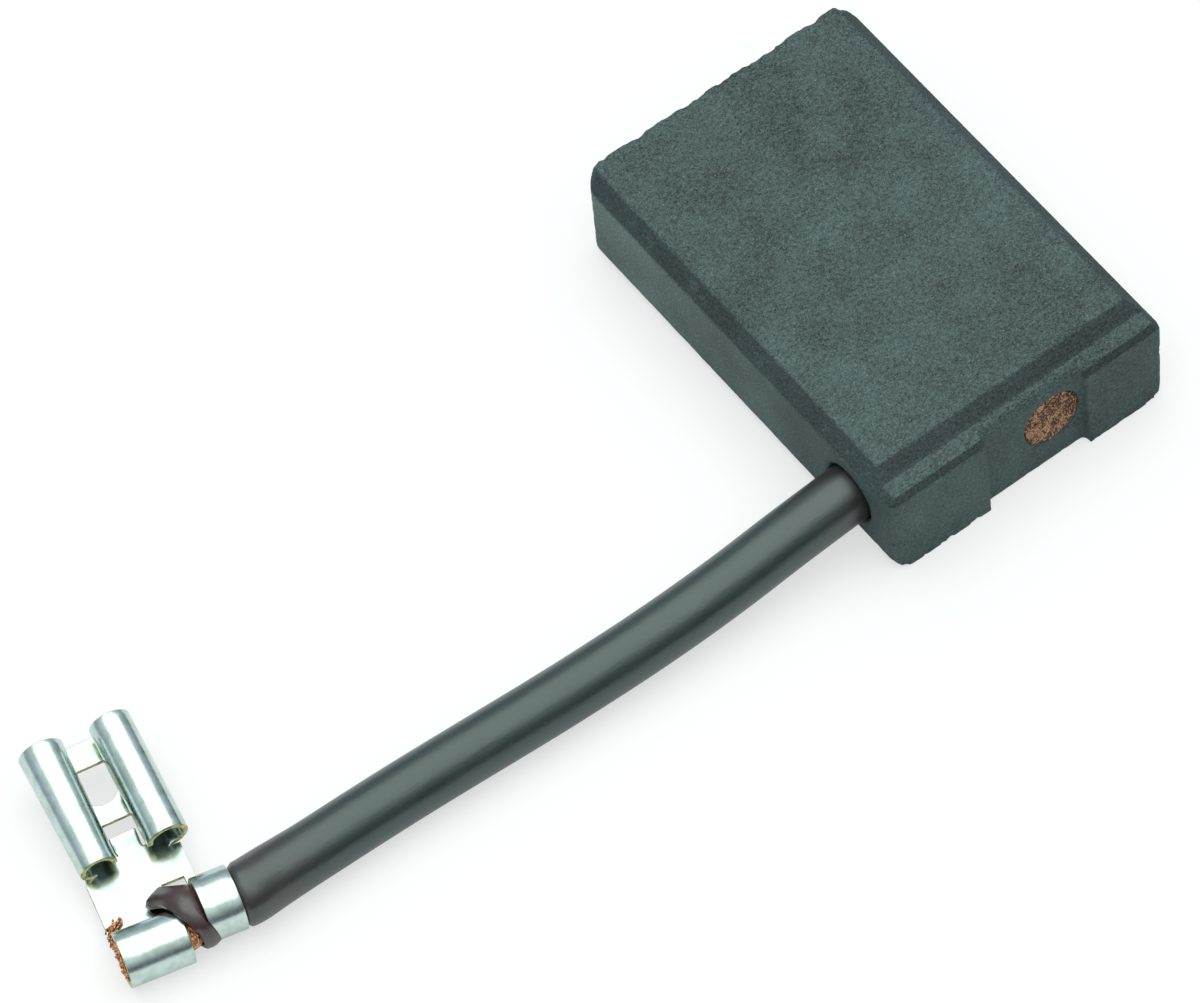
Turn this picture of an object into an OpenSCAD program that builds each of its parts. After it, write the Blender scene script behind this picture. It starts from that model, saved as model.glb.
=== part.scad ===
// Carbon brush with a side-entry sleeved lead and a flag receptacle.
// Millimetres. The block lies on its broad face: +X runs towards its lead end,
// +Y across it and +Z up. The origin is the centre of its underside.

/* [Carbon block] */
// Length, from the running face to the lead end
block_l = 33; // [26:0.5:50]
// Width across the broad face
block_w = 22; // [20:0.5:36]
// Thickness between the broad faces
block_t = 8; // [7.5:0.5:14]
// Leg of the pressed chamfer along the upper long edges
top_chamfer = 1; // [0.4:0.1:1.2]
// Leg of the pressed chamfer along the lower long edges
foot_chamfer = 0.8; // [0.4:0.1:1.2]
// Radius of the upright corners
corner_r = 1; // [0.4:0.1:2]
// Radius of the upright corner that is worn, at the running face
worn_corner_r = 1.6; // [0.4:0.1:3]
// How far the lead end leans in between its foot and the pressed edge
end_lean = 0.4; // [0:0.1:0.8]

/* [Pressed step at the lead end] */
// Distance from the lead end to the foot of the slope
step_l = 2.2; // [1.6:0.1:4]
// Drop from the broad face to the step
step_drop = 0.5; // [0.2:0.05:0.8]
// Length of the slope down to the step
slope_l = 0.9; // [0.4:0.1:2]
// Width of the crease at the foot of the slope
crease_w = 0.3; // [0.2:0.05:0.5]
// Depth of the crease below the step
crease_depth = 0.12; // [0.05:0.01:0.2]
// Leg of the edge bevel in front of the step, along the block
lip_bevel = 0.35; // [0.2:0.05:0.6]

/* [Spring channel] */
// Width of the upright channel in the lead end
channel_w = 8; // [5:0.5:10]
// Depth of the channel
channel_depth = 0.6; // [0.3:0.1:1]
// Distance of the channel's middle from the block's middle
channel_shift = 0.7; // [-1:0.1:1]

/* [Lead connection] */
// Distance of the lead's axis from the lead end
lead_inset = 4.9; // [4:0.1:8]
// Height of the lead's axis in the block
lead_h = 3.7; // [3.2:0.1:4.2]
// Depth that the sleeve sits in the block
seat_depth = 2; // [1:0.5:4]
// Radial room round the sleeve in its seat
sleeve_fit = 0.15; // [0.05:0.05:0.3]
// Radial room round the strand in its bore
strand_fit = 0.1; // [0.05:0.05:0.2]
// Diameter of the tamping hole
tamp_d = 4.3; // [3.6:0.1:5]
// Distance of the tamping hole from the block's middle
tamp_shift = 2.3; // [1:0.1:2.6]
// Height of the tamping hole
tamp_h = 4.2; // [3.8:0.1:4.4]
// Room behind the strand in the tamping hole
tamp_back = 0.6; // [0.4:0.1:2]
// How far the strand stops short of the tamping hole's far wall
strand_short = 1; // [0.6:0.1:2]

/* [Lead] */
// Diameter of the copper strand
strand_d = 2.7; // [2:0.1:2.8]
// Diameter of the insulating sleeve
sleeve_d = 4; // [3.8:0.1:4.4]
// Room between strand and sleeve
sleeve_gap = 0.1; // [0.05:0.05:0.2]

/* [Flag receptacle] */
// Sheet thickness
sheet_t = 0.4; // [0.3:0.05:0.5]
// Width of the tab that it takes
tab_w = 6.3; // [4.8:0.1:7]
// Thickness of that tab
tab_t = 0.8; // [0.5:0.1:1]
// Side and height play of the tab
tab_fit = 0.02; // [0.01:0.01:0.1]
// Outer diameter of each rolled side
roll_d = 2.8; // [2.5:0.1:3.2]
// Length of the rolled sides
roll_l = 8.9; // [7:0.1:11]
// Angle of the rolled free edge past the top
roll_wrap = 100; // [80:5:110]
// Length of the plate between the rolls and the crimp's axis
plate_l = 6.5; // [5.5:0.1:9]
// Height of the plate above the crimp's underside
plate_lift = 0.45; // [0.3:0.05:0.8]
// Inset of the plate from the rolls, on the strand tip's side
plate_inset = 0.3; // [0.1:0.05:0.5]
// Inset of the plate from the rolls, on the lead's side
plate_lead_inset = 0.7; // [0.3:0.05:0.9]
// Turn of the rolls on the plate
receptacle_yaw = 2.5; // [0:0.5:4]
// Width of the windows in the floor between the rolls
window_w = 2.2; // [1.4:0.1:2.6]

/* [Crimps] */
// Outer diameter of the strand's crimp
core_crimp_d = 3.7; // [3.7:0.1:4.2]
// Length of the strand's crimp
core_crimp_l = 4.35; // [3:0.05:5]
// Outer diameter of the sleeve's crimp
grip_d = 4.3; // [4.2:0.1:4.6]
// Length of the sleeve's crimp
grip_l = 2.4; // [1.6:0.1:3]
// Slot between the two crimps
crimp_gap = 1.4; // [1:0.1:2]
// Setback of the sleeve's crimp
grip_setback = 1; // [0.6:0.1:1.2]
// Length of strand that shows past its crimp
strand_tip = 0.1; // [0.1:0.1:1]
// Diameter of the sleeve's swollen end between the crimps
sleeve_end_d = 4.6; // [4.2:0.1:4.8]
// Turn of the terminal towards the block
terminal_turn = 13.6; // [8:0.2:18]
// Upward tilt of the receptacle's mouth
mouth_tilt = 6; // [3:0.5:8]

/* [Hidden] */
$fn = 64;
tiny = 0.01;
cord_sides = 8;

end_x = block_l / 2;
side_y = block_w / 2;
exit_x = end_x - lead_inset;
ledge_h = block_t - step_drop;
land_h = block_t - top_chamfer;
tamp_floor_x = exit_x - strand_d / 2 - tamp_back;
strand_end_y = tamp_shift + tamp_d / 2 - strand_short;

roll_r = roll_d / 2;
roll_bore_r = roll_r - sheet_t;
// Height of the tab's middle below the rolls' middle
tab_below = roll_r - sheet_t - tab_t / 2;
// The tab's edges touch the bores of both rolls
roll_y = tab_w / 2 + tab_fit - sqrt(pow(roll_bore_r, 2) - pow(tab_below, 2));
receptacle_w = 2 * (roll_y + roll_r);
core_r = core_crimp_d / 2;
grip_r = grip_d / 2;
core_y = -receptacle_w / 2 + plate_inset;
core_end_y = core_y + core_crimp_l;
grip_y = core_end_y + crimp_gap;

// Window with an arched end, from the rear of the rolls
arch_start = 4.3;
arch_window_l = 2.8;
arch_r = 1.4;
// Window and tongue that stop the tab, from the rear of the rolls
stop_start = 0.7;
stop_window_l = 2.3;
tongue_l = 1.3;
tongue_w = window_w - 0.5;
tongue_root = 0.1;
tongue_rise = 25;
// Plate between the rolls and the crimps, and the bends that join them
plate_overlap = 0.6;
plate_end_x = -4.2;
arm_least_w = 0.7;
plate_far_y = core_y;
plate_lead_y = max(receptacle_w / 2 - plate_lead_inset, grip_y + arm_least_w);
neck_angle = 8;
lap_angle = 3;
core_wrap = 150;
grip_wrap = -40;
grip_root = 232;
// Radial room left round the sleeve in its crimp, and the sleeve's wall and swelling beside it
grip_room = 0.05;
sleeve_held = grip_r - sheet_t - grip_room;
sleeve_swell = 0.1;
flare_wall = 0.4;
// Sleeve from the crimp's mouth to its torn end, as lengths along Y and shares of the way to its crimp's axis
mouth_l = 0.8;
held_past = 0.1;
flare_l = 0.6;
flare_share = 0.95;
torn_gap = 0.2;
torn_share = 0.75;
// Strand between the crimps
strand_squeezed_d = strand_d - 0.4;
jog_shares = [0.9, 0.5, 0.12];
straighten_l = 0.5;

// Where the terminal's crimp stands on the floor, from the lead's exit
terminal_aside = 1.6;
terminal_out = 52;
terminal_at = [exit_x - terminal_aside, -side_y - terminal_out];

// Free lead, from the exit outwards: sideways, outwards and height
free_route = [
    [0.05, 2.5, 3.6], [0.08, 5.5, 3.35], [0.13, 8.5, 3.05], [0.15, 11.5, 2.8], [0.1, 14.5, 2.58],
    [0, 17.5, 2.4], [-0.14, 20.5, 2.27], [-0.3, 23.5, 2.18], [-0.49, 26.5, 2.12],
    [-0.69, 29.5, 2.08], [-0.87, 32.5, 2.06], [-1.01, 35.5, 2.05], [-1.11, 38.5, 2.05],
    [-1.19, 41.5, 2.05], [-1.28, 44.5, 2.1]
];

// A point of the terminal's own frame, in the part's frame
function turned(p) = [
    p[0] * cos(terminal_turn) + p[1] * sin(terminal_turn),
    p[1] * cos(terminal_turn) - p[0] * sin(terminal_turn),
    p[2]
];
function tilted(p) = [
    p[0] * cos(mouth_tilt) + (p[2] - core_r) * sin(mouth_tilt),
    p[1],
    core_r + (p[2] - core_r) * cos(mouth_tilt) - p[0] * sin(mouth_tilt)
];
function on_terminal(p) = turned(tilted(p)) + [terminal_at[0], terminal_at[1], 0];

// A point between the axis of the strand's crimp, at 0, and of the sleeve's crimp, at 1
function between_crimps(share, y) =
    on_terminal([-grip_setback * share, y, core_r + share * (grip_r - core_r)]);

exit_route = [[exit_x, -side_y + seat_depth, lead_h], [exit_x, -side_y, lead_h]];
loose_route = [for (p = free_route) [exit_x + p[0], -side_y - p[1], p[2]]];
entry_route = [between_crimps(1, grip_y + grip_l + mouth_l), between_crimps(1, grip_y + grip_l)];
held_route = [between_crimps(1, grip_y - held_past)];
flare_route = [
    between_crimps(flare_share, grip_y - flare_l),
    between_crimps(torn_share, core_end_y + torn_gap)
];
sleeve_route = concat(exit_route, loose_route, entry_route, held_route, flare_route);
sleeve_radii = concat(
    [for (p = exit_route) sleeve_d / 2],
    [for (p = loose_route) sleeve_d / 2],
    [sleeve_d / 2 + sleeve_swell, sleeve_held],
    [sleeve_held, sleeve_end_d / 2, sleeve_end_d / 2]
);
bore_radii = [
    for (r = sleeve_radii) r == sleeve_end_d / 2 ? r - flare_wall : strand_d / 2 + sleeve_gap
];

strand_root_route = [[exit_x, strand_end_y, lead_h], [exit_x, -side_y + 2 * seat_depth, lead_h]];
jog_route = [
    between_crimps(jog_shares[0], grip_y - held_past),
    between_crimps(jog_shares[1], grip_y - crimp_gap / 2),
    between_crimps(jog_shares[2], core_end_y)
];
core_route = [
    between_crimps(0, core_end_y - straighten_l),
    between_crimps(0, core_y),
    between_crimps(0, core_y - strand_tip)
];
strand_route = concat(strand_root_route, exit_route, loose_route, entry_route, jog_route, core_route);
strand_radii = concat(
    [for (i = [1:len(strand_route) - len(jog_route) - len(core_route)]) strand_d / 2],
    [for (p = jog_route) strand_squeezed_d / 2],
    [for (p = core_route) strand_d / 2]
);

// Rings of a tube along a route
function unit(v) = v / norm(v);
function heading(route, i) =
    unit(route[min(i + 1, len(route) - 1)] - route[max(i - 1, 0)]);
function ring(route, i, r) =
    let (t = heading(route, i), side = unit(cross(t, [0, 0, 1])), up = cross(side, t))
    [
        for (k = [0:cord_sides - 1])
            let (a = (k + 0.5) * 360 / cord_sides)
            route[i] + r * (cos(a) * side + sin(a) * up)
    ];
function rings(route, radii) =
    [for (i = [0:len(route) - 1]) each ring(route, i, radii[i])];
function wall_faces(count, first, inward) = [
    for (i = [0:count - 2], k = [0:cord_sides - 1])
        let (
            a = first + i * cord_sides + k,
            b = first + i * cord_sides + (k + 1) % cord_sides,
            c = b + cord_sides,
            d = a + cord_sides
        )
        each (inward ? [[a, b, c], [a, c, d]] : [[a, c, b], [a, d, c]])
];
function rim_faces(outer, inner, flip) = [
    for (k = [0:cord_sides - 1])
        let (
            a = outer + k,
            b = outer + (k + 1) % cord_sides,
            c = inner + (k + 1) % cord_sides,
            d = inner + k
        )
        each (flip ? [[a, b, c], [a, c, d]] : [[a, c, b], [a, d, c]])
];

module solid_cord(route, radii) {
    count = len(route);
    last = (count - 1) * cord_sides;
    polyhedron(
        points = rings(route, radii),
        faces = concat(
            wall_faces(count, 0, false),
            [[for (k = [0:cord_sides - 1]) k]],
            [[for (k = [cord_sides - 1:-1:0]) last + k]]
        )
    );
}

module hollow_cord(route, radii, inner_radii) {
    count = len(route);
    bore = count * cord_sides;
    last = (count - 1) * cord_sides;
    polyhedron(
        points = concat(rings(route, radii), rings(route, inner_radii)),
        faces = concat(
            wall_faces(count, 0, false),
            wall_faces(count, bore, true),
            rim_faces(0, bore, true),
            rim_faces(last, bore + last, false)
        )
    );
}

// Pie slice of reach r from angle a0 to a1
module pie(r, a0, a1) {
    steps = ceil((a1 - a0) / 45);
    polygon(concat(
        [[0, 0]],
        [for (i = [0:steps]) let (a = a0 + (a1 - a0) * i / steps) r * [cos(a), sin(a)]]
    ));
}

// Curved sheet of outer radius r from angle a0 to a1
module curl(r, a0, a1) {
    intersection() {
        difference() {
            circle(r);
            circle(r - sheet_t);
        }
        pie(2 * r, a0, a1);
    }
}

// Profile in X and Z, drawn along Y from y to y + l
module along_y(y, l) {
    translate([0, y + l, 0]) rotate([90, 0, 0]) linear_extrude(l) children();
}

// Profile in Y and Z, drawn along X from x to x + l
module along_x(x, l) {
    translate([x, 0, 0]) rotate([90, 0, 90]) linear_extrude(l) children();
}

// Block outline along its length, with the foot and edge of the lead end set back by inset
module lead_end_profile(inset) {
    crest_x = end_x - step_l - slope_l;
    foot_x = end_x - step_l;
    edge_x = end_x - end_lean - inset;
    polygon([
        [-end_x, 0],
        [end_x - inset, 0],
        [edge_x, land_h],
        [edge_x - lip_bevel, ledge_h],
        [foot_x + crease_w, ledge_h],
        [foot_x + crease_w / 2, ledge_h - crease_depth],
        [foot_x, ledge_h],
        [crest_x, block_t],
        [-end_x, block_t]
    ]);
}

// Block seen from above, with the corner at -X and -Y worn rounder than the others
module block_outline() {
    difference() {
        square([block_l, block_w], center = true);
        for (x = [-1, 1], y = [-1, 1]) {
            r = x < 0 && y < 0 ? worn_corner_r : corner_r;
            translate([x * end_x, y * side_y])
                difference() {
                    square(2 * r, center = true);
                    translate([-x * r, -y * r]) circle(r);
                }
        }
    }
}

module pressed_blank() {
    intersection() {
        linear_extrude(block_t) block_outline();
        along_x(-end_x, block_l)
            polygon([
                [-side_y + foot_chamfer, 0],
                [side_y - foot_chamfer, 0],
                [side_y, foot_chamfer],
                [side_y, block_t - top_chamfer],
                [side_y - top_chamfer, block_t],
                [-side_y + top_chamfer, block_t],
                [-side_y, block_t - top_chamfer],
                [-side_y, foot_chamfer]
            ]);
        difference() {
            along_y(-side_y, block_w) lead_end_profile(0);
            spring_channel();
        }
    }
}

module spring_channel() {
    difference() {
        translate([0, channel_shift - channel_w / 2, -1]) cube([block_l, channel_w, block_t + 2]);
        along_y(-side_y, block_w) lead_end_profile(channel_depth);
    }
}

module tamping_hole() {
    translate([tamp_floor_x, tamp_shift, tamp_h]) rotate([0, 90, 0]) cylinder(d = tamp_d, h = block_l);
}

module strand_bore(fit) {
    translate([exit_x, strand_end_y, lead_h])
        rotate([90, 0, 0]) cylinder(d = strand_d + 2 * fit, h = strand_end_y + side_y + 1);
}

module carbon_block() {
    color("darkslategray")
    difference() {
        pressed_blank();
        translate([exit_x, -side_y + seat_depth, lead_h])
            rotate([90, 0, 0]) cylinder(d = sleeve_d + 2 * sleeve_fit, h = seat_depth + 1);
        strand_bore(strand_fit);
        tamping_hole();
    }
}

module copper_tamping() {
    color("peru")
    difference() {
        intersection() {
            tamping_hole();
            along_y(-side_y, block_w) lead_end_profile(channel_depth);
        }
        strand_bore(tiny);
    }
}

module strand() {
    color("chocolate") solid_cord(strand_route, strand_radii);
}

module sleeve() {
    color("dimgray") hollow_cord(sleeve_route, sleeve_radii, bore_radii);
}

// Floor and two rolled sides of the receptacle, seen along the tab
module receptacle_profile() {
    translate([-roll_y, 0]) square([2 * roll_y, sheet_t]);
    translate([roll_y, roll_r]) curl(roll_r, -90, 90 + roll_wrap);
    mirror([1, 0]) translate([roll_y, roll_r]) curl(roll_r, -90, 90 + roll_wrap);
}

// Window in the floor, from its end nearest the plate, with that end an arc
module arched_window(start, l, arc_r) {
    translate([-start, 0, -1]) linear_extrude(sheet_t + 1 + tiny)
        intersection() {
            translate([-l, -window_w / 2]) square([l, window_w]);
            union() {
                translate([-l, -window_w / 2]) square([l - arc_r, window_w]);
                translate([-arc_r, 0]) circle(arc_r);
            }
        }
}

module square_window(start, l) {
    translate([-start - l, -window_w / 2, -1]) cube([l, window_w, sheet_t + 1 + tiny]);
}

// Receptacle with the rear of its rolls at the origin and its mouth towards -X
module receptacle() {
    difference() {
        along_x(-roll_l, roll_l) receptacle_profile();
        arched_window(arch_start, arch_window_l, arch_r);
        square_window(stop_start, stop_window_l);
    }
    stop_tongue();
    translate([-tiny, plate_far_y, 0]) cube([plate_overlap, plate_lead_y - plate_far_y, sheet_t]);
}

// Tongue, lanced up out of its window, that stops the tab
module stop_tongue() {
    translate([-stop_start + tongue_root, -tongue_w / 2, 0])
        rotate([0, tongue_rise, 0])
            translate([-tongue_l, 0, 0]) cube([tongue_l, tongue_w, sheet_t]);
}

// Slope from the plate down into the strand's crimp, which ends past its top
module neck_profile() {
    mid_r = core_r - sheet_t / 2;
    foot = [-mid_r * sin(neck_angle), core_r - mid_r * cos(neck_angle)];
    plate_mid = plate_lift + sheet_t / 2;
    bend_x = foot[0] - (plate_mid - foot[1]) / tan(neck_angle);
    lean = sheet_t / 2 * [sin(neck_angle), cos(neck_angle)];
    polygon([
        [-plate_l + plate_overlap, plate_lift],
        [bend_x, plate_lift],
        foot - lean,
        foot + lean,
        [bend_x, plate_lift + sheet_t],
        [-plate_l + plate_overlap, plate_lift + sheet_t]
    ]);
    translate([0, core_r]) curl(core_r, -90 - neck_angle - lap_angle, core_wrap);
}

// Sleeve's crimp, which rises from the plate and ends under its front
module grip_profile() {
    translate([-grip_setback, grip_r]) curl(grip_r, grip_wrap, grip_root);
}

module flag_terminal() {
    arm_x = -grip_setback + (grip_r - sheet_t / 2) * cos(grip_root);
    color("lightsteelblue")
    translate([terminal_at[0], terminal_at[1], 0])
    rotate([0, 0, -terminal_turn])
    translate([0, 0, core_r]) rotate([0, mouth_tilt, 0]) translate([0, 0, -core_r]) {
        translate([-plate_l, 0, plate_lift]) rotate([0, 0, receptacle_yaw]) receptacle();
        along_y(core_y, core_crimp_l) neck_profile();
        translate([0, 0, plate_lift]) linear_extrude(sheet_t) polygon([
            [-plate_l + plate_overlap / 2, plate_far_y],
            [plate_end_x, plate_far_y],
            [plate_end_x, grip_y],
            [arm_x, grip_y],
            [arm_x, plate_lead_y],
            [-plate_l + plate_overlap / 2, plate_lead_y]
        ]);
        along_y(grip_y, grip_l) grip_profile();
    }
}

carbon_block();
copper_tamping();
strand();
sleeve();
flag_terminal();
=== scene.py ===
"""Looks of a carbon brush: a pressed carbon block, a sleeved copper lead and a crimped flag receptacle."""

import logging
import math
import random
from contextlib import contextmanager
from dataclasses import dataclass
from enum import Enum
from typing import Callable, Iterable, Iterator, Sequence, Union

import bmesh
import bpy
from mathutils import Matrix, Vector, noise


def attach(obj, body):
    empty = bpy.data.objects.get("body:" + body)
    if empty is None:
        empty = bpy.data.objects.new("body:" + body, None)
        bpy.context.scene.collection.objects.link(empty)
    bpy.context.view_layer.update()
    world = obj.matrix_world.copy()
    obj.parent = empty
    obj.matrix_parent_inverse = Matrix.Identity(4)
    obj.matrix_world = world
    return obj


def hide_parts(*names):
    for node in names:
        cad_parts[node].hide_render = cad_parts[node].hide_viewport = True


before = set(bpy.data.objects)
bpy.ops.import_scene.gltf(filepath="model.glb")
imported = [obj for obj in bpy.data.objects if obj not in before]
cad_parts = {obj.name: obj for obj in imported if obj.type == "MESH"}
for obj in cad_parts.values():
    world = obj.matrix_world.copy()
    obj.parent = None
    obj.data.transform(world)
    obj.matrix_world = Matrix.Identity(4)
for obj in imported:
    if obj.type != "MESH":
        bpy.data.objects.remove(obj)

log = logging.getLogger("carbon_brush")

MM = 0.001
ROOT = "root"
GOLDEN_TURN = 2.39996

Number = Union[int, float]
Colour = tuple[float, float, float, float]
Point = tuple[float, float, float]
Edge = tuple[float, float]


def srgb(red: int, green: int, blue: int) -> Colour:
    """Turns a display colour of 0 to 255 into the linear colour that a shader takes.

    Args:
        red: Red, 0 to 255.
        green: Green, 0 to 255.
        blue: Blue, 0 to 255.

    Returns:
        Linear red, green and blue, with an alpha of 1.
    """
    def linear(value: int) -> float:
        """One channel, made linear."""
        share = value / 255
        return share / 12.92 if share <= 0.04045 else ((share + 0.055) / 1.055) ** 2.4

    return (linear(red), linear(green), linear(blue), 1.0)


# ---------------------------------------------------------------- shader graph


class Sock:
    """A node's output, which Python's own operators work on."""

    def __init__(self, graph: "Graph", link: bpy.types.NodeSocket) -> None:
        """Wraps an output socket of a graph's node."""
        self.graph = graph
        self.link = link

    def _maths(self, operation: str, first: object, second: object = None) -> "Sock":
        """Adds a Math node."""
        values = {0: first} if second is None else {0: first, 1: second}
        node = self.graph.node("ShaderNodeMath", {"operation": operation}, values)
        return Sock(self.graph, node.outputs[0])

    def __add__(self, other: object) -> "Sock":
        """Sum."""
        return self._maths("ADD", self, other)

    def __radd__(self, other: object) -> "Sock":
        """Sum, reflected."""
        return self._maths("ADD", other, self)

    def __sub__(self, other: object) -> "Sock":
        """Difference."""
        return self._maths("SUBTRACT", self, other)

    def __rsub__(self, other: object) -> "Sock":
        """Difference, reflected."""
        return self._maths("SUBTRACT", other, self)

    def __mul__(self, other: object) -> "Sock":
        """Product."""
        return self._maths("MULTIPLY", self, other)

    def __rmul__(self, other: object) -> "Sock":
        """Product, reflected."""
        return self._maths("MULTIPLY", other, self)

    def __abs__(self) -> "Sock":
        """Size without sign."""
        return self._maths("ABSOLUTE", self)

    def least(self, other: object) -> "Sock":
        """The smaller of two values."""
        return self._maths("MINIMUM", self, other)

    def rise(self, low: float, high: float) -> "Sock":
        """A smooth step from 0 at low to 1 at high, or the other way when high is below low.

        Args:
            low: Where the step starts.
            high: Where it ends.

        Returns:
            A value from 0 to 1.
        """
        if high < low:
            return 1 - self.rise(high, low)
        node = self.graph.node(
            "ShaderNodeMapRange",
            {"interpolation_type": "SMOOTHSTEP"},
            {"Value": self, "From Min": low, "From Max": high},
        )
        return Sock(self.graph, node.outputs[0])


class Graph:
    """A material's or the world's nodes."""

    def __init__(self, tree: bpy.types.NodeTree) -> None:
        """Empties the tree, so that only this script's nodes are in it."""
        self.tree = tree
        tree.nodes.clear()
        self._millimetres: Sock | None = None

    def node(self, kind: str, settings: dict | None = None, values: dict | None = None) -> bpy.types.Node:
        """Adds a node.

        Args:
            kind: The node's type.
            settings: The node's own settings, which are set first.
            values: Values or links of its sockets, by name, place or identifier.

        Returns:
            The new node.
        """
        made = self.tree.nodes.new(kind)
        for name, value in (settings or {}).items():
            setattr(made, name, value)
        by_id = {s.identifier: s for s in made.inputs}
        for name, value in (values or {}).items():
            socket = made.inputs[name] if isinstance(name, int) else by_id.get(name) or made.inputs[name]
            if isinstance(value, Sock):
                self.tree.links.new(value.link, socket)
            else:
                socket.default_value = value
        return made

    def out(self, made: bpy.types.Node, name: str | int = 0) -> Sock:
        """One of a node's outputs, by name or place."""
        return Sock(self, made.outputs[name])

    def millimetres(self) -> Sock:
        """The point on the object, in millimetres."""
        if self._millimetres is None:
            place = self.out(self.node("ShaderNodeTexCoord"), "Object")
            self._millimetres = self.scaled(place, (1 / MM,) * 3)
        return self._millimetres

    def scaled(self, vector: Sock, sizes: Sequence[float]) -> Sock:
        """A vector with each part multiplied."""
        made = self.node("ShaderNodeVectorMath", {"operation": "MULTIPLY"}, {0: vector, 1: tuple(sizes)})
        return self.out(made)

    def shifted(self, vector: Sock, by: Sock | Sequence[float]) -> Sock:
        """A vector moved by another."""
        value = by if isinstance(by, Sock) else tuple(by)
        return self.out(self.node("ShaderNodeVectorMath", {"operation": "ADD"}, {0: vector, 1: value}))

    def parts(self, vector: Sock) -> tuple[Sock, Sock, Sock]:
        """A vector's X, Y and Z."""
        made = self.node("ShaderNodeSeparateXYZ", None, {0: vector})
        return self.out(made, 0), self.out(made, 1), self.out(made, 2)

    def dot(self, vector: Sock, other: Sequence[float]) -> Sock:
        """How far a vector runs along another."""
        made = self.node("ShaderNodeVectorMath", {"operation": "DOT_PRODUCT"}, {0: vector, 1: tuple(other)})
        return self.out(made, "Value")

    def noise(self, vector: Sock, size: float, detail: float = 2.0, rough: float = 0.5) -> Sock:
        """Soft noise around 0.5.

        Args:
            vector: Where, in millimetres.
            size: How wide a blotch is, in millimetres.
            detail: Octaves added.
            rough: How strong they are.

        Returns:
            The noise's value.
        """
        made = self.node(
            "ShaderNodeTexNoise",
            None,
            {"Vector": vector, "Scale": 1 / size, "Detail": detail, "Roughness": rough},
        )
        return self.out(made, "Fac")

    def cells(self, vector: Sock, size: float, feature: str = "F1") -> Sock:
        """Distance to the nearest of scattered points, about a cell's size apart."""
        made = self.node("ShaderNodeTexVoronoi", {"feature": feature}, {"Vector": vector, "Scale": 1 / size})
        return self.out(made, "Distance")

    def blend(self, first: object, second: object, share: object) -> Sock:
        """A colour between two, by a share of the second."""
        made = self.node(
            "ShaderNodeMix",
            {"data_type": "RGBA"},
            {"Factor_Float": share, "A_Color": first, "B_Color": second},
        )
        return Sock(self, next(s for s in made.outputs if s.identifier == "Result_Color"))

    def tinted(self, colour: object, level: Sock) -> Sock:
        """A colour made darker or lighter by a factor."""
        grey = self.node("ShaderNodeCombineXYZ", None, {0: level, 1: level, 2: level})
        made = self.node("ShaderNodeVectorMath", {"operation": "MULTIPLY"}, {0: colour, 1: self.out(grey)})
        return self.out(made)

    def bump(self, height: Sock, depth: float) -> Sock:
        """A normal that a height map bends.

        Args:
            height: Height from 0 to 1.
            depth: What a height of 1 stands for, in millimetres.

        Returns:
            The bent normal.
        """
        values = {"Height": height, "Strength": 1.0, "Distance": depth * MM}
        return self.out(self.node("ShaderNodeBump", None, values), "Normal")

    def surface(self, settings: dict, links: dict) -> None:
        """Ends the graph in a Principled shader."""
        shader = self.node("ShaderNodeBsdfPrincipled", None, {**settings, **links})
        self.node("ShaderNodeOutputMaterial", None, {"Surface": self.out(shader)})


def new_graph(name: str) -> tuple[bpy.types.Material, Graph]:
    """A new material and its empty graph."""
    material = bpy.data.materials.new(name)
    material.use_nodes = True
    return material, Graph(material.node_tree)


# ---------------------------------------------------------------- finishes


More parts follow.
